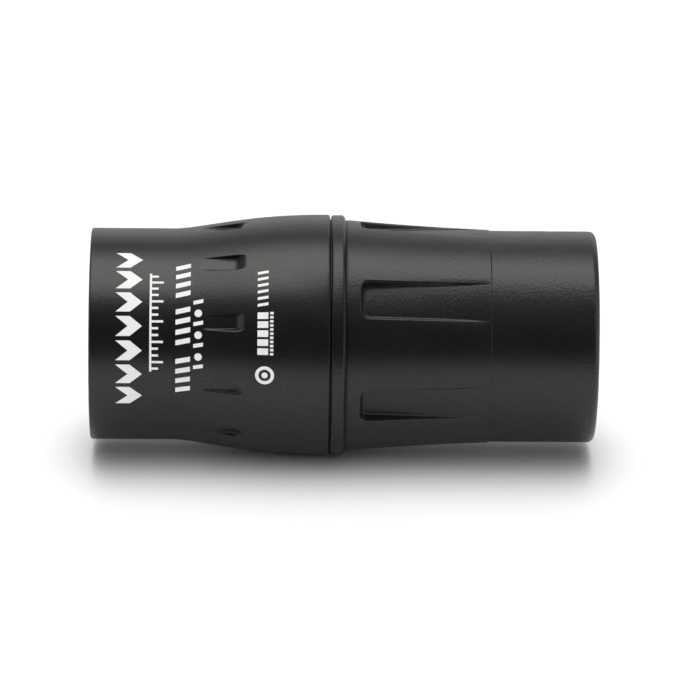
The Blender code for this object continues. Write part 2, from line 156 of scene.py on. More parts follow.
def soften(corners, closed=True, steps=5):
    """Rounds a polyline's corners. Each corner is (h, r, radius)."""
    out = []
    count = len(corners)
    for i, (h, r, radius) in enumerate(corners):
        if radius == 0 or (not closed and i in (0, count - 1)):
            out.append((h, r))
            continue
        here = Vector((h, r))
        back = Vector(corners[i - 1][:2]) - here
        ahead = Vector(corners[(i + 1) % count][:2]) - here
        half = back.angle(ahead) / 2
        if half > math.radians(89.5):
            out.append((h, r))
            continue
        cut = min(radius / math.tan(half), 0.49 * back.length, 0.49 * ahead.length)
        reach = cut / math.cos(half)
        centre = here + (back.normalized() + ahead.normalized()).normalized() * reach
        arm = here + back.normalized() * cut - centre
        other = here + ahead.normalized() * cut - centre
        start = math.atan2(arm.y, arm.x)
        turn = (math.atan2(other.y, other.x) - start + math.pi) % math.tau - math.pi
        for k in range(steps + 1):
            a = start + turn * k / steps
            out.append((centre.x + arm.length * math.cos(a), centre.y + arm.length * math.sin(a)))
    return out


def ramp(x, rounding):
    """0 to 1 as x goes 0 to 1: straight in the middle, rounded at both ends."""
    x = min(max(x, 0.0), 1.0)
    top = 1 / (1 - rounding)
    if x < rounding:
        return top * x * x / (2 * rounding)
    if x > 1 - rounding:
        return 1 - top * (1 - x) ** 2 / (2 * rounding)
    return top * (x - rounding / 2)


def spread(start, end, step):
    """Evenly spaced values from start up to, and not including, end."""
    count = max(1, round((end - start) / step))
    return [start + (end - start) * i / count for i in range(count)]


def finish_mesh(name, bm, material, sharp_deg=38.0):
    bmesh.ops.remove_doubles(bm, verts=bm.verts, dist=1e-8)
    bmesh.ops.recalc_face_normals(bm, faces=bm.faces)
    mesh = bpy.data.meshes.new(name)
    bm.to_mesh(mesh)
    bm.free()
    mesh.shade_smooth()
    mesh.set_sharp_from_angle(angle=math.radians(sharp_deg))
    mesh.materials.append(material)
    obj = bpy.data.objects.new(name, mesh)
    bpy.context.scene.collection.objects.link(obj)
    return obj


def add_turned(bm, loop, angles, relief=None):
    """Adds a closed outline turned about the axis to bm. relief(h, r, a) gives the radius at an angle."""
    rings = []
    for a in angles:
        ring = []
        for h, r in loop:
            if relief is not None:
                r = relief(h, r, a)
            ring.append(bm.verts.new(point(h, r, a)))
        rings.append(ring)
    for i, ring in enumerate(rings):
        following = rings[(i + 1) % len(rings)]
        for j in range(len(loop)):
            k = (j + 1) % len(loop)
            if loop[j][1] == 0 and loop[k][1] == 0:
                continue
            bm.faces.new((ring[j], ring[k], following[k], following[j]))


def even_angles(count):
    return [math.tau * i / count for i in range(count)]


def turned(name, corners, material):
    bm = bmesh.new()
    add_turned(bm, soften(corners, steps=4), even_angles(ROUND_SIDES))
    return finish_mesh(name, bm, material)


def add_block(bm, h_range, r_range, width, a, bevel):
    """Adds a bevelled bar that stands out from the axis at angle a."""
    made = bmesh.ops.create_cube(bm, size=1.0)["verts"]
    size = Vector((h_range[1] - h_range[0], width, r_range[1] - r_range[0])) * MM
    bmesh.ops.scale(bm, vec=size, verts=made)
    edges = [e for e in bm.edges if e.verts[0] in made]
    cut = bmesh.ops.bevel(
        bm, geom=edges, offset=bevel * MM, segments=3, profile=0.5, affect="EDGES"
    )
    verts = list({v for f in cut["faces"] for v in f.verts} | {v for v in made if v.is_valid})
    centre = point(sum(h_range) / 2, sum(r_range) / 2, a)
    turn = Matrix.Rotation(math.pi / 2 - a, 3, "X")
    bmesh.ops.rotate(bm, matrix=turn, verts=verts)
    bmesh.ops.translate(bm, vec=centre, verts=verts)


def stands_for(obj, node, body="housing"):
    """Makes obj the finished surface of a CAD node, carried by this body."""
    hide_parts(node)
    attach(obj, body)


# ---------------------------------------------------------------- materials


def new_material(name):
    material = bpy.data.materials.new(name)
    material.use_nodes = True
    nodes = material.node_tree.nodes
    links = material.node_tree.links
    return material, nodes, links, nodes["Principled BSDF"]


def math_node(nodes, links, operation, a, b):
    node = nodes.new("ShaderNodeMath")
    node.operation = operation
    for socket, value in zip(node.inputs, (a, b)):
        if isinstance(value, (int, float)):
            socket.default_value = value
        else:
            links.new(value, socket)
    return node.outputs[0]


def unrolled(nodes, links):
    """Coordinates in millimetres on the skin laid flat. X runs along the flow and out over the end faces,
    and Y runs round the body."""
    coords = nodes.new("ShaderNodeTexCoord")
    split = nodes.new("ShaderNodeSeparateXYZ")
    links.new(coords.outputs["Object"], split.inputs[0])
    toward = math_node(nodes, links, "MULTIPLY", split.outputs["Y"], -1.0)
    angle = math_node(nodes, links, "ARCTAN2", split.outputs["Z"], toward)
    upright = nodes.new("ShaderNodeVectorMath")
    upright.operation = "MULTIPLY"
    upright.inputs[1].default_value = (0, 1, 1)
    links.new(coords.outputs["Object"], upright.inputs[0])
    out = nodes.new("ShaderNodeVectorMath")
    out.operation = "LENGTH"
    links.new(upright.outputs[0], out.inputs[0])
    along = math_node(nodes, links, "ADD", split.outputs["X"], out.outputs["Value"])
    join = nodes.new("ShaderNodeCombineXYZ")
    links.new(math_node(nodes, links, "MULTIPLY", along, 1 / MM), join.inputs["X"])
    links.new(math_node(nodes, links, "MULTIPLY", angle, SKIN_R), join.inputs["Y"])
    return join.outputs[0]


def noise(nodes, links, vector, scale, detail=2.0, roughness=0.5, distortion=0.0):
    node = nodes.new("ShaderNodeTexNoise")
    node.inputs["Scale"].default_value = scale
    node.inputs["Detail"].default_value = detail
    node.inputs["Roughness"].default_value = roughness
    node.inputs["Distortion"].default_value = distortion
    links.new(vector, node.inputs["Vector"])
    return node.outputs["Fac"]


def remap(nodes, links, value, low, high):
    """Stretches the range that noise mostly keeps to, 0.3 to 0.7, over low to high."""
    node = nodes.new("ShaderNodeMapRange")
    node.inputs["From Min"].default_value = 0.3
    node.inputs["From Max"].default_value = 0.7
    node.inputs["To Min"].default_value = low
    node.inputs["To Max"].default_value = high
    links.new(value, node.inputs["Value"])
    return node.outputs[0]


def colour_mix(nodes, links, factor, low, high):
    node = nodes.new("ShaderNodeMix")
    node.data_type = "RGBA"
    node.inputs["A"].default_value = (*low, 1)
    node.inputs["B"].default_value = (*high, 1)
    links.new(factor, node.inputs["Factor"])
    return node.outputs["Result"]


def bump(nodes, links, height, distance_mm, under=None):
    node = nodes.new("ShaderNodeBump")
    node.inputs["Distance"].default_value = distance_mm * MM
    node.inputs["Strength"].default_value = 1.0
    links.new(height, node.inputs["Height"])
    if under is not None:
        links.new(under, node.inputs["Normal"])
    return node.outputs[0]


def housing_plastic(name, wrinkle_depth):
    """Black polypropylene with a fine leather grain: short slanting wrinkles over a fine pebble, with
    painted shade in their valleys.
    """
    material, nodes, links, shader = new_material(name)
    flat = unrolled(nodes, links)
    slant = nodes.new("ShaderNodeMapping")
    slant.vector_type = "TEXTURE"
    slant.inputs["Rotation"].default_value = (0, 0, math.radians(52))
    slant.inputs["Scale"].default_value = (0.55, 0.27, 1)
    links.new(flat, slant.inputs["Vector"])
    wrinkles = noise(nodes, links, slant.outputs[0], 1.0, 2.0, 0.5, 0.2)
    pebble = noise(nodes, links, flat, 5.5, 2.0, 0.6)
    cloud = noise(nodes, links, flat, 0.12, 3.0, 0.5)
    links.new(remap(nodes, links, cloud, 0.34, 0.38), shader.inputs["Roughness"])
    base = colour_mix(nodes, links, cloud, (0.0038, 0.0038, 0.0032), (0.0052, 0.0051, 0.0043))
    links.new(base, shader.inputs["Base Color"])
    fine = bump(nodes, links, pebble, 0.006)
    links.new(bump(nodes, links, wrinkles, wrinkle_depth, under=fine), shader.inputs["Normal"])
    # Painted shade: the grain's valleys reflect less, as if shaded in its creases.
    links.new(remap(nodes, links, wrinkles, 0.43, 0.57), shader.inputs["Specular IOR Level"])
    return material


def seal_rubber():
    material, nodes, links, shader = new_material("seal_rubber")
    coords = nodes.new("ShaderNodeTexCoord")
    bloom = noise(nodes, links, coords.outputs["Object"], 900.0, 4.0)
    base = colour_mix(nodes, links, bloom, (0.010, 0.010, 0.011), (0.022, 0.022, 0.023))
    links.new(base, shader.inputs["Base Color"])
    links.new(remap(nodes, links, bloom, 0.5, 0.68), shader.inputs["Roughness"])
    links.new(bump(nodes, links, bloom, 0.008), shader.inputs["Normal"])
    return material


def moulded_acetal():
    material, nodes, links, shader = new_material("acetal_natural")
    coords = nodes.new("ShaderNodeTexCoord")
    cloud = noise(nodes, links, coords.outputs["Object"], 180.0, 3.0)
    grain = noise(nodes, links, coords.outputs["Object"], 2500.0, 2.0)
    base = colour_mix(nodes, links, cloud, (0.70, 0.69, 0.63), (0.78, 0.77, 0.72))
    links.new(base, shader.inputs["Base Color"])
    links.new(remap(nodes, links, cloud, 0.3, 0.42), shader.inputs["Roughness"])
    links.new(bump(nodes, links, grain, 0.004), shader.inputs["Normal"])
    shader.inputs["Subsurface Weight"].default_value = 0.25
    shader.inputs["Subsurface Radius"].default_value = (1.0, 0.9, 0.7)
    shader.inputs["Subsurface Scale"].default_value = 0.6 * MM
    return material


def drawn_steel():
    material, nodes, links, shader = new_material("spring_steel")
    coords = nodes.new("ShaderNodeTexCoord")
    streak = nodes.new("ShaderNodeMapping")
    streak.inputs["Scale"].default_value = (6000.0, 900.0, 900.0)
    links.new(coords.outputs["Object"], streak.inputs["Vector"])
    lines = noise(nodes, links, streak.outputs[0], 1.0, 3.0)
    base = colour_mix(nodes, links, lines, (0.50, 0.49, 0.47), (0.66, 0.65, 0.63))
    links.new(base, shader.inputs["Base Color"])
    links.new(remap(nodes, links, lines, 0.22, 0.36), shader.inputs["Roughness"])
    links.new(bump(nodes, links, lines, 0.003), shader.inputs["Normal"])
    shader.inputs["Metallic"].default_value = 1.0
    return material


def pad_ink():
    """White pad-printing ink: thin, slightly uneven, a little glossy and with a faint painted glow."""
    material, nodes, links, shader = new_material("pad_ink_white")
    flat = unrolled(nodes, links)
    patch = noise(nodes, links, flat, 3.0, 4.0, 0.65)
    base = colour_mix(nodes, links, patch, (0.60, 0.60, 0.59), (0.68, 0.68, 0.67))
    links.new(base, shader.inputs["Base Color"])
    # Painted light: the ink glows faintly so the print stays evenly bright on top and below.
    links.new(base, shader.inputs["Emission Color"])
    shader.inputs["Emission Strength"].default_value = 0.22
    links.new(remap(nodes, links, patch, 0.5, 0.62), shader.inputs["Roughness"])
    shader.inputs["Specular IOR Level"].default_value = 0.3
    links.new(bump(nodes, links, patch, 0.004), shader.inputs["Normal"])
    return material


INLET_PLASTIC = housing_plastic("housing_black_inlet", 0.03)
OUTLET_PLASTIC = housing_plastic("housing_black_outlet", 0.065)
RUBBER = seal_rubber()
ACETAL = moulded_acetal()
STEEL = drawn_steel()
INK = pad_ink()


# ---------------------------------------------------------------- housings


def flare_points(samples=80):
    """Points along the flare's curve, a cubic Bezier."""
    weights = []
    for i in range(samples + 1):
        t = i / samples
        weights.append(((1 - t) ** 3, 3 * t * (1 - t) ** 2, 3 * t * t * (1 - t), t**3))
    return np.array(weights) @ np.array(FLARE)


FLARE_POINTS = flare_points()


def inlet_skin_r(h):
    return float(np.interp(h, FLARE_POINTS[:, 0], FLARE_POINTS[:, 1]))


def outlet_skin_r(h):
    back = TAPER_END - h
    return TAPER_END_R + TAPER_SLOPE * back + TAPER_FLARE * back**2


def nearest_offset(a, centres_deg):
    """Angle to a from the nearest of the features."""
    offsets = [(a - math.radians(c) + math.pi) % math.tau - math.pi for c in centres_deg]
    return min(offsets, key=abs)


def wall_turn(depth, bend_r, steepest_deg):
    """Steepest angle that a wall of this depth reaches between its rounded edge and its rounded foot."""
    return min(math.radians(steepest_deg), math.acos(max(1 - depth / (2 * bend_r), -1.0)))


def wall_width(depth, bend_r, steepest_deg):
    turn = wall_turn(depth, bend_r, steepest_deg)
    straight = max(depth - 2 * bend_r * (1 - math.cos(turn)), 0.0)
    return 2 * bend_r * math.sin(turn) + straight / math.tan(turn)


def wall_drop(inset, depth, bend_r, steepest_deg):
    """How far the skin has dropped at this distance in from the top edge of a recess's wall."""
    turn = wall_turn(depth, bend_r, steepest_deg)
    width = wall_width(depth, bend_r, steepest_deg)
    bend = bend_r * math.sin(turn)
    inset = min(max(inset, 0.0), width)
    if inset < bend:
        return bend_r - math.sqrt(bend_r**2 - inset**2)
    if inset > width - bend:
        return depth - bend_r + math.sqrt(bend_r**2 - (width - inset) ** 2)
    return bend_r * (1 - math.cos(turn)) + (inset - bend) * math.tan(turn)


def recess_depth(h, r, a):
    """The wall below a recess leans back further than the one above it, and the end wall further still."""
    depth = r - RECESS_FLOOR_R
    if depth < LEAST_DEPTH or h > RECESS_END[1]:
        return 0.0
    across = r * math.sin(nearest_offset(a, RECESS_AT_DEG))
    wall = RECESS_UPPER_WALL if across > 0 else RECESS_LOWER_WALL
    width = wall_width(depth, *wall)
    side = max(abs(across) - RECESS_HALF_FLOOR, 0.0) / width
    end = max(h - RECESS_END[0], 0.0) / (RECESS_END[1] - RECESS_END[0])
    out = math.hypot(side, end)
    if out == 0:
        return depth
    sloped = depth * ramp(1 - out, RECESS_END_ROUNDING)
    return (side * wall_drop((1 - out) * width, depth, *wall) + end * sloped) / (side + end)


def groove_depth(h, r, a):
    depth = r - float(np.interp(h, (GROOVE_START, TAPER_END), GROOVE_FLOOR_R))
    if depth < LEAST_DEPTH or h < GROOVE_START or h > TAPER_END:
        return 0.0
    across = abs(r * math.sin(nearest_offset(a, GROOVE_AT_DEG)))
    side = across - (GROOVE_HALF_WIDTH - GROOVE_CORNER_R)
    end = GROOVE_START + GROOVE_CORNER_R - h
    inset = GROOVE_CORNER_R - math.hypot(max(side, 0.0), max(end, 0.0))
    return wall_drop(inset, depth, *GROOVE_WALL)


def thread_r(depth, r, a, sense):
    """Radius of the socket's wall. Its helical thread fades in past the mouth and out at the bottom."""
    fade = min(depth - THREAD_START, THREAD_END - depth) / THREAD_FADE
    turn = (depth / THREAD_PITCH - sense * a / math.tau) % 1.0
    wave = THREAD_FLATS * (1 - 4 * abs(turn - 0.5))
    wave = min(max(wave, -1.0), 1.0)
    return r + THREAD_HALF_HEIGHT * wave * min(max(fade, 0.0), 1.0)


def socket_corners(face, sense):
    """Socket profile from the mouth inwards. sense is +1 where inwards is along the flow."""
    depths = spread(SOCKET_WALL_START, SOCKET_DEPTH, THREAD_STEP)
    return [(face + sense * depth, THREAD_PITCH_R - THREAD_TAPER * depth, 0) for depth in depths]


def feature_angles(centres_deg, offsets_mm, radius, land_step_mm=1.0):
    """Angles at which the skin is sampled: at these distances across each feature, and wide apart between
    them. radius turns millimetres into angles."""
    centres = [math.radians(c) for c in centres_deg]
    angles = []
    for centre, following in zip(centres, centres[1:] + [centres[0] + math.tau]):
        angles += [centre + o / radius for o in offsets_mm]
        land_start = centre + offsets_mm[-1] / radius
        land_end = following + offsets_mm[0] / radius
        angles += spread(land_start, land_end, land_step_mm / radius)[1:]
    return angles


def inlet_housing():
    """The first corners run along the outside, where the skin is sampled closely over the recesses only."""
    recesses_end = 26.0
    chamfer = 0.5
    corners = [(0, SOCKET_MOUTH_R, 0.12), (0, HUB_R, 0.35)]
    corners += [(h, HUB_R, 0) for h in spread(1.0, 13.4, 1.6)]
    corners += [(h, inlet_skin_r(h), 0) for h in spread(FLARE[0][0], RECESS_START, 0.55)]
    corners += [(h, inlet_skin_r(h), 0) for h in spread(RECESS_START, recesses_end, 0.16)]
    corners += [(h, inlet_skin_r(h), 0) for h in spread(recesses_end, INLET_END - 0.4, 0.9)]
    corners += [
        (INLET_END, MAX_R, 0.4),
        (INLET_END, SPIGOT_BORE_R + chamfer, 0.1),
        (INLET_END - chamfer, SPIGOT_BORE_R, 0.1),
        (WEB_END, SPIGOT_BORE_R, 0.3),
        (WEB_END, SEAL_POCKET_R, 0.1),
        (SEAL_POCKET_START, SEAL_POCKET_R, 0.1),
        (SEAL_POCKET_START, STEM_BORE_R, 0.1),
        (WEB_START, STEM_BORE_R, 0.3),
        (WEB_START, THROAT_R, 0.6),
        (SPIDER_SHOULDER, THROAT_R, 0.1),
        (SPIDER_SHOULDER, INLET_BORE_R, 0.1),
        (CLIP_SLOT[1], INLET_BORE_R, 0.05),
        (CLIP_SLOT[1], CLIP_SLOT_R, 0.05),
        (CLIP_SLOT[0], CLIP_SLOT_R, 0.05),
        (CLIP_SLOT[0], INLET_BORE_R, 0.05),
        (SOCKET_DEPTH, INLET_BORE_R, 0.05),
    ]
    corners += socket_corners(0, 1)[::-1]

    def relief(h, r, a):
        if h >= RECESS_START and r > HUB_R + 0.1:
            return r - recess_depth(h, r, a)
        if h < SOCKET_DEPTH and r < SOCKET_WALL_BELOW_R:
            return thread_r(h, r, a, 1)
        return r

    lower_wall = spread(-2.1, -1.0, 0.05)
    floor_and_upper_wall = spread(-1.0, 1.0, 0.4) + spread(1.0, 1.66, 0.04) + [1.66]
    angles = feature_angles(RECESS_AT_DEG, lower_wall + floor_and_upper_wall, radius=18.6)
    bm = bmesh.new()
    add_turned(bm, soften(corners), angles, relief)
    obj = finish_mesh("inlet_housing_skin", bm, INLET_PLASTIC)
    stands_for(obj, "inlet_housing")


def outlet_housing():
    """The corners start at the spigot's end and run along the outside, closely sampled where the grooves
    start, then back through the socket and the cylinder."""
    seam_start = INLET_END + 0.05
    seam_end = COLLAR_START - 0.08
    collar_end = TAPER_START - 0.5
    lead_in = 0.4
    inner_lead_in = (0.8, 0.5)
    corners = [
        (SPIGOT_START, CYLINDER_R + inner_lead_in[1], 0.1),
        (SPIGOT_START, SPIGOT_R - lead_in, 0.1),
        (SPIGOT_START + lead_in, SPIGOT_R, 0.1),
        (seam_start, SPIGOT_R, 0.05),
        (seam_start, COLLAR_R - SEAM_DEPTH, 0.05),
        (seam_end, COLLAR_R - SEAM_DEPTH, 0.05),
        (seam_end, COLLAR_R - 0.03, 0.5),
        (collar_end, COLLAR_R, 0.7),
        (collar_end + 0.35, 19.3, 0.3),
        (TAPER_START, 19.0, 0.03),
        (TAPER_START + 0.12, 19.02, 0.03),
        (TAPER_START + 0.2, outlet_skin_r(TAPER_START + 0.2), 0.05),
    ]
    corners += [(h, outlet_skin_r(h), 0) for h in spread(42.6, 43.9, 0.4)]
    corners += [(h, outlet_skin_r(h), 0) for h in spread(43.9, 46.0, 0.07)]
    corners += [(h, outlet_skin_r(h), 0) for h in spread(46.0, TAPER_END - 0.3, 0.7)]
    corners += [(TAPER_END, outlet_skin_r(TAPER_END), 0.1), (TAPER_END + 0.12, HUB_R, 0.1)]
    corners += [(h, HUB_R, 0) for h in spread(66.3, LENGTH - 1.5, 1.6)]
    corners += [(LENGTH, HUB_R, 1.1), (LENGTH, SOCKET_MOUTH_R, 0.12)]
    corners += socket_corners(LENGTH, -1)
    socket_end = LENGTH - SOCKET_DEPTH
    corners += [
        (socket_end, SOCKET_FLOOR_R, 0.05),
        (socket_end, OUTLET_BORE_R, 0.3),
        (CYLINDER_END, OUTLET_BORE_R, 0.3),
        (CYLINDER_END, CYLINDER_R, 0.3),
        (SPIGOT_START + inner_lead_in[0], CYLINDER_R, 0.1),
    ]

    def relief(h, r, a):
        if r > GROOVE_FLOOR_R[0] and h > TAPER_START + 0.5:
            return r - groove_depth(h, r, a)
        if h > socket_end and r < SOCKET_WALL_BELOW_R:
            return thread_r(LENGTH - h, r, a, -1)
        return r

    wall = spread(2.4, 3.55, 0.045) + [3.55]
    across = [-x for x in wall[::-1]] + spread(-2.4, 2.4, 0.6)[1:] + wall
    angles = feature_angles(GROOVE_AT_DEG, across, radius=18.8)
    bm = bmesh.new()
    add_turned(bm, soften(corners), angles, relief)
    obj = finish_mesh("outlet_housing_skin", bm, OUTLET_PLASTIC)
    stands_for(obj, "outlet_housing")


# ---------------------------------------------------------------- pieces inside


def seat_spider():
    """A ring and a domed cup joined by four arms; the cup's tail holds the seat pad."""
    bm = bmesh.new()
    ring = [
        (17.6, 10.0, 0.3),
        (17.6, 11.3, 0.35),
        (21.3, 11.3, 0.15),
        (21.3, 10.0, 0.3),
    ]
    add_turned(bm, soften(ring), even_angles(ROUND_SIDES))
    tip = 15.6
    dome = 3.0
    cup_r = 6.4
    hub = [(tip + dome * (1 - math.cos(t)), cup_r * math.sin(t)) for t in spread(0, 1.571, 0.16)]
    tail = [
        (tip + dome, cup_r, 0),
        (21.0, cup_r, 0.2),
        (21.0, 5.7, 0.2),
        (19.2, 5.7, 0.15),
        (19.2, 1.2, 0.2),
        (20.8, 1.2, 0.3),
        (20.8, 0.0, 0),
    ]
    add_turned(bm, hub + soften(tail, closed=False), even_angles(96))
    for i in range(4):
        add_block(bm, (18.1, 20.6), (5.9, 10.6), 1.6, math.radians(45 + 90 * i), 0.3)
    stands_for(finish_mesh("seat_spider_body", bm, ACETAL), "seat_spider")


def seat_pad():
    corners = [(19.5, 1.5, 0.1), (21.3, 1.5, 0.25), (21.3, 5.4, 0.25), (19.5, 5.4, 0.1)]
    stands_for(turned("seat_pad_disc", corners, RUBBER), "seat_pad")


def spider_clip():
    """A flat snap ring, open at the bottom, with an eyed lug at each end."""
    outer_r = 12.0
    inner_r = 10.7
    half = math.radians(17.0)
    lug_r = 1.35
    lug_at = outer_r - lug_r - 0.05
    lug_turn = math.pi * 1.05
    eye_r = 0.55
    eye_sides = 24
    half_thickness = 0.3
    rounding = 0.06
    gap_at = -math.pi / 2

    def circle(radius, start, end, steps, centre=(0.0, 0.0)):
        pts = []
        for i in range(steps + 1):
            t = start + (end - start) * i / steps
            pts.append((centre[0] + radius * math.cos(t), centre[1] + radius * math.sin(t)))
        return pts

    def lug_centre(side):
        t = gap_at + side * half
        return (lug_at * math.cos(t), lug_at * math.sin(t))

    inner_half = half + (lug_r + 0.3) / inner_r
    outer = circle(outer_r, gap_at + half, gap_at + math.tau - half, 120)
    last = circle(lug_r, gap_at - half, gap_at - half + lug_turn, 14, lug_centre(-1))
    inner = circle(inner_r, gap_at + math.tau - inner_half, gap_at + inner_half, 110)
    first = circle(lug_r, gap_at + half - lug_turn, gap_at + half, 14, lug_centre(1))
    curve = bpy.data.curves.new("spider_clip_ring", "CURVE")
    curve.dimensions = "2D"
    curve.fill_mode = "BOTH"
    curve.extrude = (half_thickness - rounding) * MM
    curve.bevel_depth = rounding * MM
    curve.bevel_resolution = 2
    curve.offset = -rounding * MM
    loops = [outer + last + inner + first]
    for side in (-1, 1):
        eye_end = math.tau * (1 - 1 / eye_sides)
        loops.append(circle(eye_r, 0, eye_end, eye_sides - 1, lug_centre(side)))
    for pts in loops:
        spline = curve.splines.new("POLY")
        spline.points.add(len(pts) - 1)
        for control, (y, z) in zip(spline.points, pts):
            control.co = (y * MM, z * MM, 0, 1)
        spline.use_cyclic_u = True
    flat = bpy.data.objects.new("spider_clip_flat", curve)
    bpy.context.scene.collection.objects.link(flat)
    mesh = bpy.data.meshes.new_from_object(
        flat.evaluated_get(bpy.context.evaluated_depsgraph_get())
    )
    bpy.data.objects.remove(flat)
    clip_x = INLET_X + sum(CLIP_SLOT) / 2 * MM
    upright = Matrix(((0, 0, 1, clip_x), (1, 0, 0, 0), (0, 1, 0, 0), (0, 0, 0, 1)))
    bm = bmesh.new()
    bm.from_mesh(mesh)
    bm.transform(upright)
    bpy.data.meshes.remove(mesh)
    stands_for(finish_mesh("spider_clip_ring", bm, STEEL, 50), "spider_clip")


def seal_ring(name, node, ring_r, section_r, at, body):
    bm = bmesh.new()
    turns = even_angles(24)
    loop = [(at + section_r * math.sin(t), ring_r + section_r * math.cos(t)) for t in turns]
    add_turned(bm, loop, even_angles(ROUND_SIDES))
    stands_for(finish_mesh(name, bm, RUBBER), node, body)


def stem_guide():
    corners = [
        (30.7, 7.0, 0.15),
        (31.3, 7.0, 0.1),
        (31.3, 13.3, 0.2),
        (32.45, 13.3, 0.2),
        (32.45, 9.6, 0.2),
        (34.45, 9.6, 0.4),
        (34.45, 5.3, 0.4),
        (30.7, 5.3, 0.2),
    ]
    stands_for(turned("stem_guide_bush", corners, ACETAL), "stem_guide")


def washer(name, node, start, body):
    end = start + 0.5
    bore_r = 9.9
    rim_r = 13.3
    edge = 0.06
    corners = [(start, bore_r, edge), (start, rim_r, edge), (end, rim_r, edge), (end, bore_r, edge)]
    stands_for(turned(name, corners, STEEL), node, body)


def spring():
    """A compression spring with closed ends: tight over the dead turns and open between them."""
    start = 33.55
    end = 49.1
    wire_r = 1.25
    coil_r = 11.6
    turns = 4.0
    dead = 0.9
    dead_pitch = 2.65
    length = end - start - 2 * wire_r
    open_rise = length - 2 * dead * dead_pitch

    def rise(turn):
        """How far the wire's centre has risen along the flow after this many turns."""
        if turn < dead:
            return turn * dead_pitch
        if turn > turns - dead:
            return length - (turns - turn) * dead_pitch
        return dead * dead_pitch + (turn - dead) / (turns - 2 * dead) * open_rise

    steps_per_turn = 48
    around = 16
    count = round(turns * steps_per_turn)
    bm = bmesh.new()
    sections = []
    for i in range(count + 1):
        turn = turns * i / count
        a = math.tau * turn + math.pi
        h = start + wire_r + rise(turn)
        section = []
        for t in even_angles(around):
            place = point(h + wire_r * math.sin(t), coil_r + wire_r * math.cos(t), a)
            section.append(bm.verts.new(place))
        sections.append(section)
    for one, two in zip(sections, sections[1:]):
        for k in range(around):
            bm.faces.new((one[k], one[(k + 1) % around], two[(k + 1) % around], two[k]))
    bm.faces.new(sections[0])
    bm.faces.new(sections[-1][::-1])
    obj = finish_mesh("spring_coil", bm, STEEL)
    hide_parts("spring")
    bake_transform(obj)


def plunger():
    """The stem's mouth, its outside, the piston head with its seal groove, the ribbed face and the bore."""
    mouth = (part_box("plunger")[0].x - INLET_X) / MM
    corners = [
        (mouth, 3.9, 0.15),
        (mouth, 4.25, 0.12),
        (mouth + 0.9, 5.0, 0.6),
        (47.6, 5.0, 0.6),
        (48.2, 5.6, 0.3),
        (48.2, 9.6, 0.4),
        (50.2, 9.6, 0.15),
        (50.2, 13.7, 0.25),
        (51.4, 13.7, 0.12),
        (51.4, 11.4, 0.2),
        (54.2, 11.4, 0.2),
        (54.2, 13.7, 0.12),
        (55.9, 13.7, 0.5),
        (55.9, 10.2, 0.25),
        (52.6, 9.7, 0.6),
        (52.6, 5.4, 0.5),
        (55.3, 5.1, 0.2),
        (55.3, 4.6, 0.2),
        (53.5, 3.7, 1.0),
        (mouth + 0.6, 3.7, 0.3),
    ]
    bm = bmesh.new()
    add_turned(bm, soften(corners), even_angles(ROUND_SIDES))
    for i in range(6):
        add_block(bm, (52.3, 54.9), (5.0, 10.1), 1.2, math.radians(90 + 60 * i), 0.2)
    stands_for(finish_mesh("plunger_body", bm, ACETAL), "plunger", "plunger")


# ---------------------------------------------------------------- printed marks


INK_LIFT = 0.02
INK_ROOT = 0.04
INK_CUTS = (0.45, 1.5)  # mm along the flow and degrees round it


def print_marks(name, shapes):
    """Thin ink shapes that follow the inlet housing's skin, rooted in it and just proud of it. A shape is a
    list of (h, down) corners, with down in degrees measured downwards from the camera's direction."""
    bm = bmesh.new()
    for shape in shapes:
        verts = [bm.verts.new((h, down, 0)) for h, down in shape]
        bm.faces.new(verts)
    bmesh.ops.remove_doubles(bm, verts=bm.verts, dist=1e-5)
    lows = [min(p[i] for s in shapes for p in s) for i in (0, 1)]
    highs = [max(p[i] for s in shapes for p in s) for i in (0, 1)]
    for axis, step in enumerate(INK_CUTS):
        normal = Vector((1 - axis, axis, 0))
        for value in spread(lows[axis], highs[axis], step)[1:]:
            everything = [*bm.verts, *bm.edges, *bm.faces]
            bmesh.ops.bisect_plane(bm, geom=everything, plane_co=normal * value, plane_no=normal)
    bmesh.ops.triangulate(bm, faces=list(bm.faces))
    copied = bmesh.ops.extrude_face_region(bm, geom=list(bm.faces), use_keep_orig=True)["geom"]
    raised = {item for item in copied if isinstance(item, bmesh.types.BMVert)}
    for vert in bm.verts:
        h, down = vert.co.x, vert.co.y
        a = math.radians(CAMERA_ELEVATION - down)
        r = inlet_skin_r(h)
        height = INK_LIFT if vert in raised else -INK_ROOT
        vert.co = point(h, r - recess_depth(h, r, a) + height, a)
    obj = finish_mesh(name, bm, INK)
    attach(obj, "housing")


def chevron(down, half=5.35):
    """An arrow along the flow, this many degrees high to each side of its tip."""
    back, notch, shoulder, tip = 4.4, 6.4, 6.75, 8.75
    return [
        (back, down - half),
        (shoulder, down - half),
        (tip, down),
        (shoulder, down + half),
        (back, down + half),
        (notch, down),
    ]


def bar(h0, h1, down, width, slant=0.0):
    """A bar along the flow, width degrees high, whose far end is slant degrees higher."""
    half = width / 2
    return [(h0, down - half), (h1, down - half - slant), (h1, down + half - slant), (h0, down + half)]


def disc(h, down, radius, hole=0.0, sides=40):
    """A dot of this radius in mm on the skin, or a ring where hole is its inner radius."""
    to_deg = math.degrees(1 / inlet_skin_r(h))
    shapes = []
    for i in range(sides):
        corners = []
        for r, k in ((hole, i), (radius, i), (radius, i + 1), (hole, i + 1)):
            t = math.tau * k / sides
            corners.append((h + r * math.cos(t), down + r * math.sin(t) * to_deg))
        if hole == 0:
            corners = corners[:3]
        shapes.append(corners)
    return shapes


def row(start, end, pitch):
    """Positions in degrees down the skin, evenly spread between two ends."""
    count = round((end - start) / pitch)
    return [start + (end - start) * (i + 0.5) / count for i in range(count)]


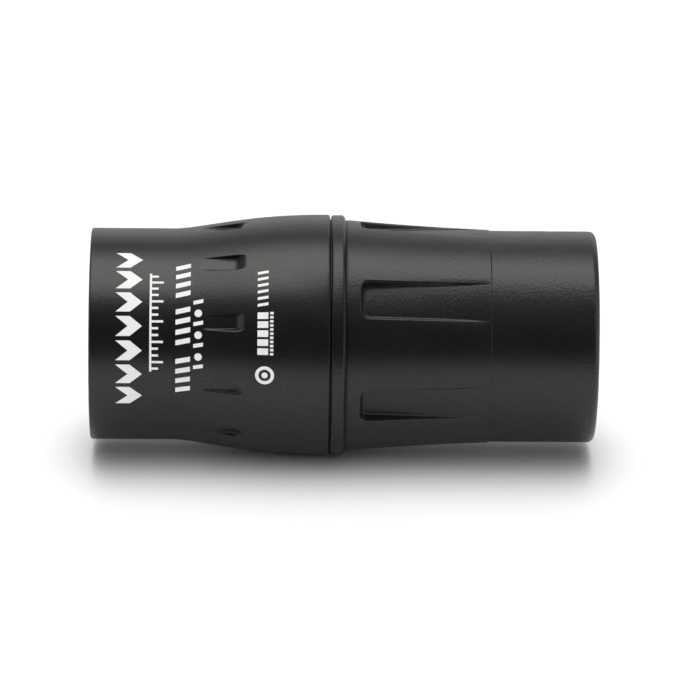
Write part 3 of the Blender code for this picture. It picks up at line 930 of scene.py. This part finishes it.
def marks():
    """Plain shapes where a maker prints: arrows along the flow, a scale, bars, dots and a ring."""
    print_marks("flow_chevrons", [chevron(down) for down in row(-49.8, 41.8, 13.1)])

    ticks = [bar(9.95, 10.3, -6.6, 54.6)]
    for i, down in enumerate(row(-33.9, 20.8, 3.65)):
        ticks.append(bar(10.31, 12.2 if i % 3 == 1 else 11.4, down, 1.25))
    print_marks("scale_ticks", ticks)

    bars = []
    for group in ((-40.0, -18.0), (-14.4, 7.6), (12.2, 34.2)):
        bars += [bar(14.2, 16.6, down, 2.7, 1.6) for down in row(*group, 5.6)]
    print_marks("slanted_bars", bars)

    beads = []
    for i, down in enumerate(row(-19.3, 20.6, 5.7)):
        if i % 2:
            beads += disc(17.9, down, 0.62)
        else:
            beads.append(bar(17.1, 18.7, down, 2.0, 0.9))
    print_marks("beads", beads)

    print_marks("ring", disc(28.75, 20.0, 1.55, 1.0) + disc(28.75, 20.0, 0.5))
    blocks = [bar(27.55, 29.3, down, 3.2) for down in row(-11.2, 10.4, 4.6)]
    blocks += [bar(27.55, 29.3, down, 1.4, 0.8) for down in row(-32.5, -12.4, 3.4)]
    blocks += [bar(29.6, 30.15, down, 1.2) for down in row(-11.2, 10.4, 1.95)]
    print_marks("blocks", blocks)


inlet_housing()
outlet_housing()
seat_spider()
seat_pad()
spider_clip()
seal_ring("stem_seal", "stem_o_ring", 6.15, 0.85, 29.3, "housing")
stem_guide()
washer("fixed_spring_washer", "spring_washer_fixed", 32.75, "housing")
spring()
washer("moving_spring_washer", "spring_washer_moving", 49.4, "plunger")
plunger()
seal_ring("piston_seal", "piston_o_ring", 12.7, 1.0, 52.8, "plunger")
marks()


# ---------------------------------------------------------------- studio

# Brightness of the dome that lights the floor, from the back horizon (0) over the top (0.5) to the
# front (1)
DOME_BACK_TO_FRONT = (
    (0.0, 0.15),
    (0.15, 0.25),
    (0.28, 0.56),
    (0.37, 1.0),
    (0.5, 0.95),
    (0.62, 0.74),
    (0.75, 0.5),
    (1.0, 0.36),
)
# and from the inlet's side (0) over the top (0.5) to the outlet's side (1)
DOME_LEFT_TO_RIGHT = (
    (0.0, 0.02),
    (0.25, 0.06),
    (0.38, 0.3),
    (0.45, 0.85),
    (0.5, 1.0),
    (0.55, 0.85),
    (0.62, 0.3),
    (0.75, 0.06),
    (1.0, 0.02),
)
DOME_LEVEL = 6.4
AMBIENT_LEVEL = 0.015
BACKDROP_LEVEL = 1.2

# The card in front, in metres: how far out it stands, its half width, its lower edge, and its upper edge
# before each housing
CARD_Y = -0.045
CARD_HALF = 0.07
CARD_LOW = -0.0078
CARD_INLET_TOP = 0.0576
CARD_OUTLET_TOP = 0.1


def flat_stage_piece(name, corners, material):
    mesh = bpy.data.meshes.new(name)
    mesh.from_pydata(corners, [], [tuple(range(len(corners)))])
    mesh.materials.append(material)
    obj = bpy.data.objects.new(name, mesh)
    bpy.context.scene.collection.objects.link(obj)
    return obj


def floor():
    material, nodes, links, shader = new_material("studio_floor")
    coords = nodes.new("ShaderNodeTexCoord")
    cloud = noise(nodes, links, coords.outputs["Object"], 6.0, 2.0)
    base = colour_mix(nodes, links, cloud, (0.86, 0.86, 0.86), (0.87, 0.87, 0.87))
    links.new(base, shader.inputs["Base Color"])
    shader.inputs["Roughness"].default_value = 0.9
    shader.inputs["Specular IOR Level"].default_value = 0.1
    half = 4.0
    corners = [(-half, -half), (half, -half), (half, half), (-half, half)]
    flat_stage_piece("studio_floor", [(x, y, -MAX_R * MM) for x, y in corners], material)


def ramp_node(nodes, links, value, stops):
    node = nodes.new("ShaderNodeValToRGB")
    elements = node.color_ramp.elements
    while len(elements) < len(stops):
        elements.new(0.5)
    for element, (position, level) in zip(elements, stops):
        element.position = position
        element.color = (level, level, level, 1)
    links.new(value, node.inputs["Fac"])
    return node.outputs["Color"]


def world():
    """Soft light from one arch that runs front to back over the object. It isn't seen in reflections,
    which softboxes fill instead, and the camera sees plain white past the floor."""
    scene_world = bpy.data.worlds.new("studio")
    scene_world.use_nodes = True
    nodes = scene_world.node_tree.nodes
    links = scene_world.node_tree.links
    coords = nodes.new("ShaderNodeTexCoord")
    split = nodes.new("ShaderNodeSeparateXYZ")
    links.new(coords.outputs["Generated"], split.inputs[0])
    forward = math_node(nodes, links, "MULTIPLY", split.outputs["Y"], -1.0)
    tilt = math_node(nodes, links, "ARCTAN2", forward, split.outputs["Z"])
    place = nodes.new("ShaderNodeMapRange")
    place.inputs["From Min"].default_value = -math.pi / 2
    place.inputs["From Max"].default_value = math.pi / 2
    links.new(tilt, place.inputs["Value"])
    light = ramp_node(nodes, links, place.outputs[0], DOME_BACK_TO_FRONT)
    sideways = nodes.new("ShaderNodeMapRange")
    sideways.inputs["From Min"].default_value = -1.0
    links.new(split.outputs["X"], sideways.inputs["Value"])
    across = ramp_node(nodes, links, sideways.outputs[0], DOME_LEFT_TO_RIGHT)
    shaped = math_node(nodes, links, "MULTIPLY", light, across)
    level = math_node(nodes, links, "MULTIPLY", shaped, DOME_LEVEL)
    total = math_node(nodes, links, "ADD", level, AMBIENT_LEVEL)
    path = nodes.new("ShaderNodeLightPath")
    choose = nodes.new("ShaderNodeMix")
    choose.data_type = "FLOAT"
    choose.inputs["B"].default_value = BACKDROP_LEVEL
    links.new(path.outputs["Is Camera Ray"], choose.inputs["Factor"])
    links.new(total, choose.inputs["A"])
    links.new(choose.outputs["Result"], nodes["Background"].inputs["Strength"])
    nodes["Background"].inputs["Color"].default_value = (1, 1, 1, 1)
    bpy.context.scene.world = scene_world
    scene_world.cycles_visibility.glossy = False
    scene_world.cycles.sampling_method = "MANUAL"
    scene_world.cycles.sample_map_resolution = 1024


def softbox(name, size, place, aim, radiance):
    """A rectangular light that shows in reflections only. In a mirror, a radiance of 1 is plain white."""
    data = bpy.data.lights.new(name, "AREA")
    data.shape = "RECTANGLE"
    data.size, data.size_y = size
    data.energy = radiance * math.pi * size[0] * size[1]
    data.color = (1.0, 0.99, 0.965)
    obj = bpy.data.objects.new(name, data)
    obj.location = place
    direction = Vector(aim) - Vector(place)
    obj.rotation_euler = direction.to_track_quat("-Z", "Y").to_euler()
    obj.visible_diffuse = False
    bpy.context.scene.collection.objects.link(obj)


def black_card():
    """Stands just in front of the object and shows only in reflections, where it darkens the near side."""
    material, nodes, links, shader = new_material("black_card")
    coords = nodes.new("ShaderNodeTexCoord")
    cloud = noise(nodes, links, coords.outputs["Object"], 20.0)
    base = colour_mix(nodes, links, cloud, (0.002, 0.002, 0.002), (0.004, 0.004, 0.004))
    links.new(base, shader.inputs["Base Color"])
    shader.inputs["Specular IOR Level"].default_value = 0.0
    step_x = INLET_X + INLET_END * MM
    corners = [
        (-CARD_HALF, CARD_LOW),
        (CARD_HALF, CARD_LOW),
        (CARD_HALF, CARD_OUTLET_TOP),
        (step_x, CARD_OUTLET_TOP),
        (step_x, CARD_INLET_TOP),
        (-CARD_HALF, CARD_INLET_TOP),
    ]
    card = flat_stage_piece("black_card", [(x, CARD_Y, z) for x, z in corners], material)
    card.visible_camera = False
    card.visible_diffuse = False
    card.visible_shadow = False


def camera():
    """A long lens in front of the inlet half, raised, that looks slightly towards the outlet."""
    elevation = math.radians(CAMERA_ELEVATION)
    data = bpy.data.cameras.new("camera")
    data.lens = CAMERA_LENS
    data.sensor_width = 36.0
    data.clip_start = 0.05
    data.clip_end = 50.0
    obj = bpy.data.objects.new("camera", data)
    back = Vector((0, -math.cos(elevation), math.sin(elevation)))
    up = Vector((0, math.sin(elevation), math.cos(elevation)))
    eye = Vector((CAMERA_X, 0, 0)) + back * CAMERA_DISTANCE
    aim = Vector((CAMERA_AIM_X, 0, 0)) - up * CAMERA_AIM_DROP
    look = (aim - eye).to_track_quat("-Z", "Y")
    roll = Matrix.Rotation(math.radians(CAMERA_ROLL), 4, "Z")
    obj.matrix_world = Matrix.LocRotScale(eye, look, None) @ roll
    bpy.context.scene.collection.objects.link(obj)
    bpy.context.scene.camera = obj


floor()
world()
softbox("overhead_softbox", size=(0.9, 0.84), place=(0, -0.14, 0.8), aim=(0, -0.14, 0), radiance=3.2)
softbox("left_softbox", size=(0.9, 0.6), place=(-0.7, -0.15, 0.3), aim=(0, 0, 0), radiance=1.0)
softbox("right_softbox", size=(0.9, 0.6), place=(0.7, -0.15, 0.3), aim=(0, 0, 0), radiance=1.0)
softbox("rear_softbox", size=(2.4, 1.2), place=(0, 1.2, 0.72), aim=(0, 0, 0.72), radiance=0.95)
black_card()
camera()
bpy.context.scene.view_settings.view_transform = "Standard"

bpy.context.view_layer.update()
